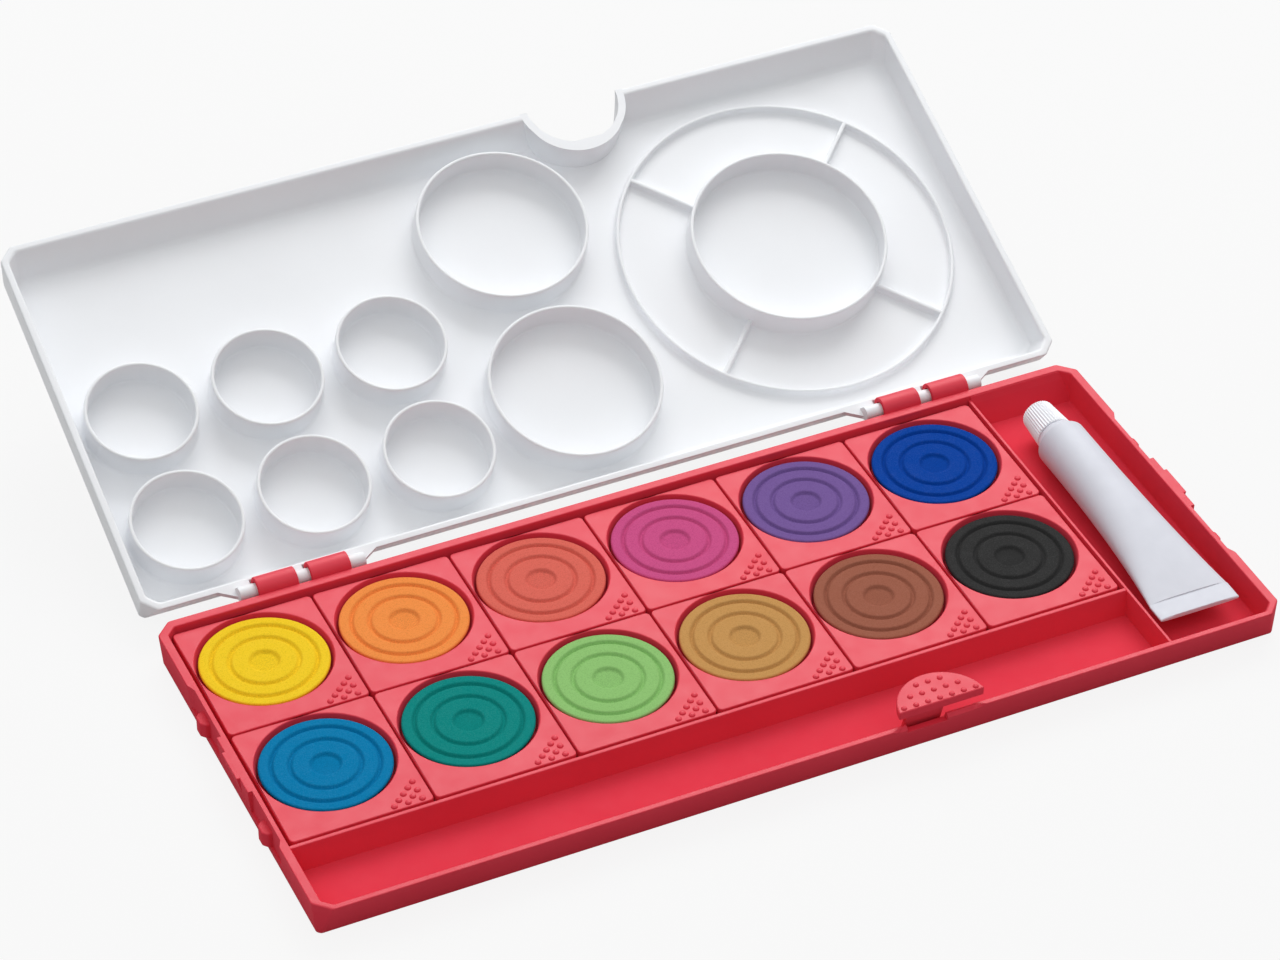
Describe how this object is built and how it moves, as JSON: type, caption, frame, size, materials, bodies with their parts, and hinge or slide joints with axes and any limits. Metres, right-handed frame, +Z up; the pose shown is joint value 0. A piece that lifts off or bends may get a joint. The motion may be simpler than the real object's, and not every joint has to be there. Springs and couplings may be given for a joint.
{
  "type": "paint box",
  "caption": "Flat school paint box with lift-out round colour pans, a brush channel, a tube bay, a springy front catch and a hinged lid whose inside is a mixing palette.",
  "frame": {"origin": "middle of the tray's underside, on the plane it rests on", "axes": "+X along the box towards the tube bay, +Y back towards the hinges, +Z up"},
  "size_m": [0.2392, 0.2045, 0.0466],
  "materials": {
    "red_plastic": "satin moulded red plastic",
    "white_plastic": "satin-gloss white plastic",
    "tube_metal": "thin aluminium tube lacquered white, satin",
    "paint_yellow": "pressed water colour, dry and slightly granular",
    "paint_orange": "pressed water colour, dry and slightly granular",
    "paint_vermilion": "pressed water colour, dry and slightly granular",
    "paint_magenta": "pressed water colour, dry and slightly granular",
    "paint_violet": "pressed water colour, dry and slightly granular",
    "paint_ultramarine": "pressed water colour, dry and slightly granular",
    "paint_cyan": "pressed water colour, dry and slightly granular",
    "paint_turquoise": "pressed water colour, dry and slightly granular",
    "paint_green": "pressed water colour, dry and slightly granular",
    "paint_ochre": "pressed water colour, dry and slightly granular",
    "paint_brown": "pressed water colour, dry and slightly granular",
    "paint_black": "pressed water colour, dry and slightly granular"
  },
  "bodies": {
    "tray": {"tray": "red_plastic"},
    "lid": {"lid": "white_plastic"},
    "catch": {"catch": "red_plastic"},
    "tube": {"tube": "tube_metal"},
    "tube_cap": {"tube_cap": "white_plastic"},
    "pan_yellow": {"pan_yellow": "red_plastic", "paint_yellow": "paint_yellow"},
    "pan_orange": {"pan_orange": "red_plastic", "paint_orange": "paint_orange"},
    "pan_vermilion": {"pan_vermilion": "red_plastic", "paint_vermilion": "paint_vermilion"},
    "pan_magenta": {"pan_magenta": "red_plastic", "paint_magenta": "paint_magenta"},
    "pan_violet": {"pan_violet": "red_plastic", "paint_violet": "paint_violet"},
    "pan_ultramarine": {"pan_ultramarine": "red_plastic", "paint_ultramarine": "paint_ultramarine"},
    "pan_cyan": {"pan_cyan": "red_plastic", "paint_cyan": "paint_cyan"},
    "pan_turquoise": {"pan_turquoise": "red_plastic", "paint_turquoise": "paint_turquoise"},
    "pan_green": {"pan_green": "red_plastic", "paint_green": "paint_green"},
    "pan_ochre": {"pan_ochre": "red_plastic", "paint_ochre": "paint_ochre"},
    "pan_brown": {"pan_brown": "red_plastic", "paint_brown": "paint_brown"},
    "pan_black": {"pan_black": "red_plastic", "paint_black": "paint_black"}
  },
  "joints": [
    {"name": "lid_hinge", "type": "hinge", "parent": "tray", "child": "lid", "pos_m": [0, 0.05395, 0.0081], "axis": [-1, 0, 0], "range_deg": [-158.3, 0]},
    {"name": "catch_flex", "type": "hinge", "parent": "tray", "child": "catch", "pos_m": [0.0268, -0.0463, 0.0018], "axis": [1, 0, 0], "range_deg": [0, 6.8], "stiffness_Nm_per_rad": 0.3},
    {"name": "tube_lift", "type": "slide", "parent": "tray", "child": "tube", "axis": [0, 0, 1], "range_m": [0, 0.03]},
    {"name": "cap_turn", "type": "hinge", "parent": "tube", "child": "tube_cap", "pos_m": [0.1021, 0.0325, 0.0077], "axis": [0, 1, 0], "continuous": true},
    {"name": "lift_yellow", "type": "slide", "parent": "tray", "child": "pan_yellow", "axis": [0, 0, 1], "range_m": [0, 0.012]},
    {"name": "lift_orange", "type": "slide", "parent": "tray", "child": "pan_orange", "axis": [0, 0, 1], "range_m": [0, 0.012]},
    {"name": "lift_vermilion", "type": "slide", "parent": "tray", "child": "pan_vermilion", "axis": [0, 0, 1], "range_m": [0, 0.012]},
    {"name": "lift_magenta", "type": "slide", "parent": "tray", "child": "pan_magenta", "axis": [0, 0, 1], "range_m": [0, 0.012]},
    {"name": "lift_violet", "type": "slide", "parent": "tray", "child": "pan_violet", "axis": [0, 0, 1], "range_m": [0, 0.012]},
    {"name": "lift_ultramarine", "type": "slide", "parent": "tray", "child": "pan_ultramarine", "axis": [0, 0, 1], "range_m": [0, 0.012]},
    {"name": "lift_cyan", "type": "slide", "parent": "tray", "child": "pan_cyan", "axis": [0, 0, 1], "range_m": [0, 0.012]},
    {"name": "lift_turquoise", "type": "slide", "parent": "tray", "child": "pan_turquoise", "axis": [0, 0, 1], "range_m": [0, 0.012]},
    {"name": "lift_green", "type": "slide", "parent": "tray", "child": "pan_green", "axis": [0, 0, 1], "range_m": [0, 0.012]},
    {"name": "lift_ochre", "type": "slide", "parent": "tray", "child": "pan_ochre", "axis": [0, 0, 1], "range_m": [0, 0.012]},
    {"name": "lift_brown", "type": "slide", "parent": "tray", "child": "pan_brown", "axis": [0, 0, 1], "range_m": [0, 0.012]},
    {"name": "lift_black", "type": "slide", "parent": "tray", "child": "pan_black", "axis": [0, 0, 1], "range_m": [0, 0.012]}
  ]
}
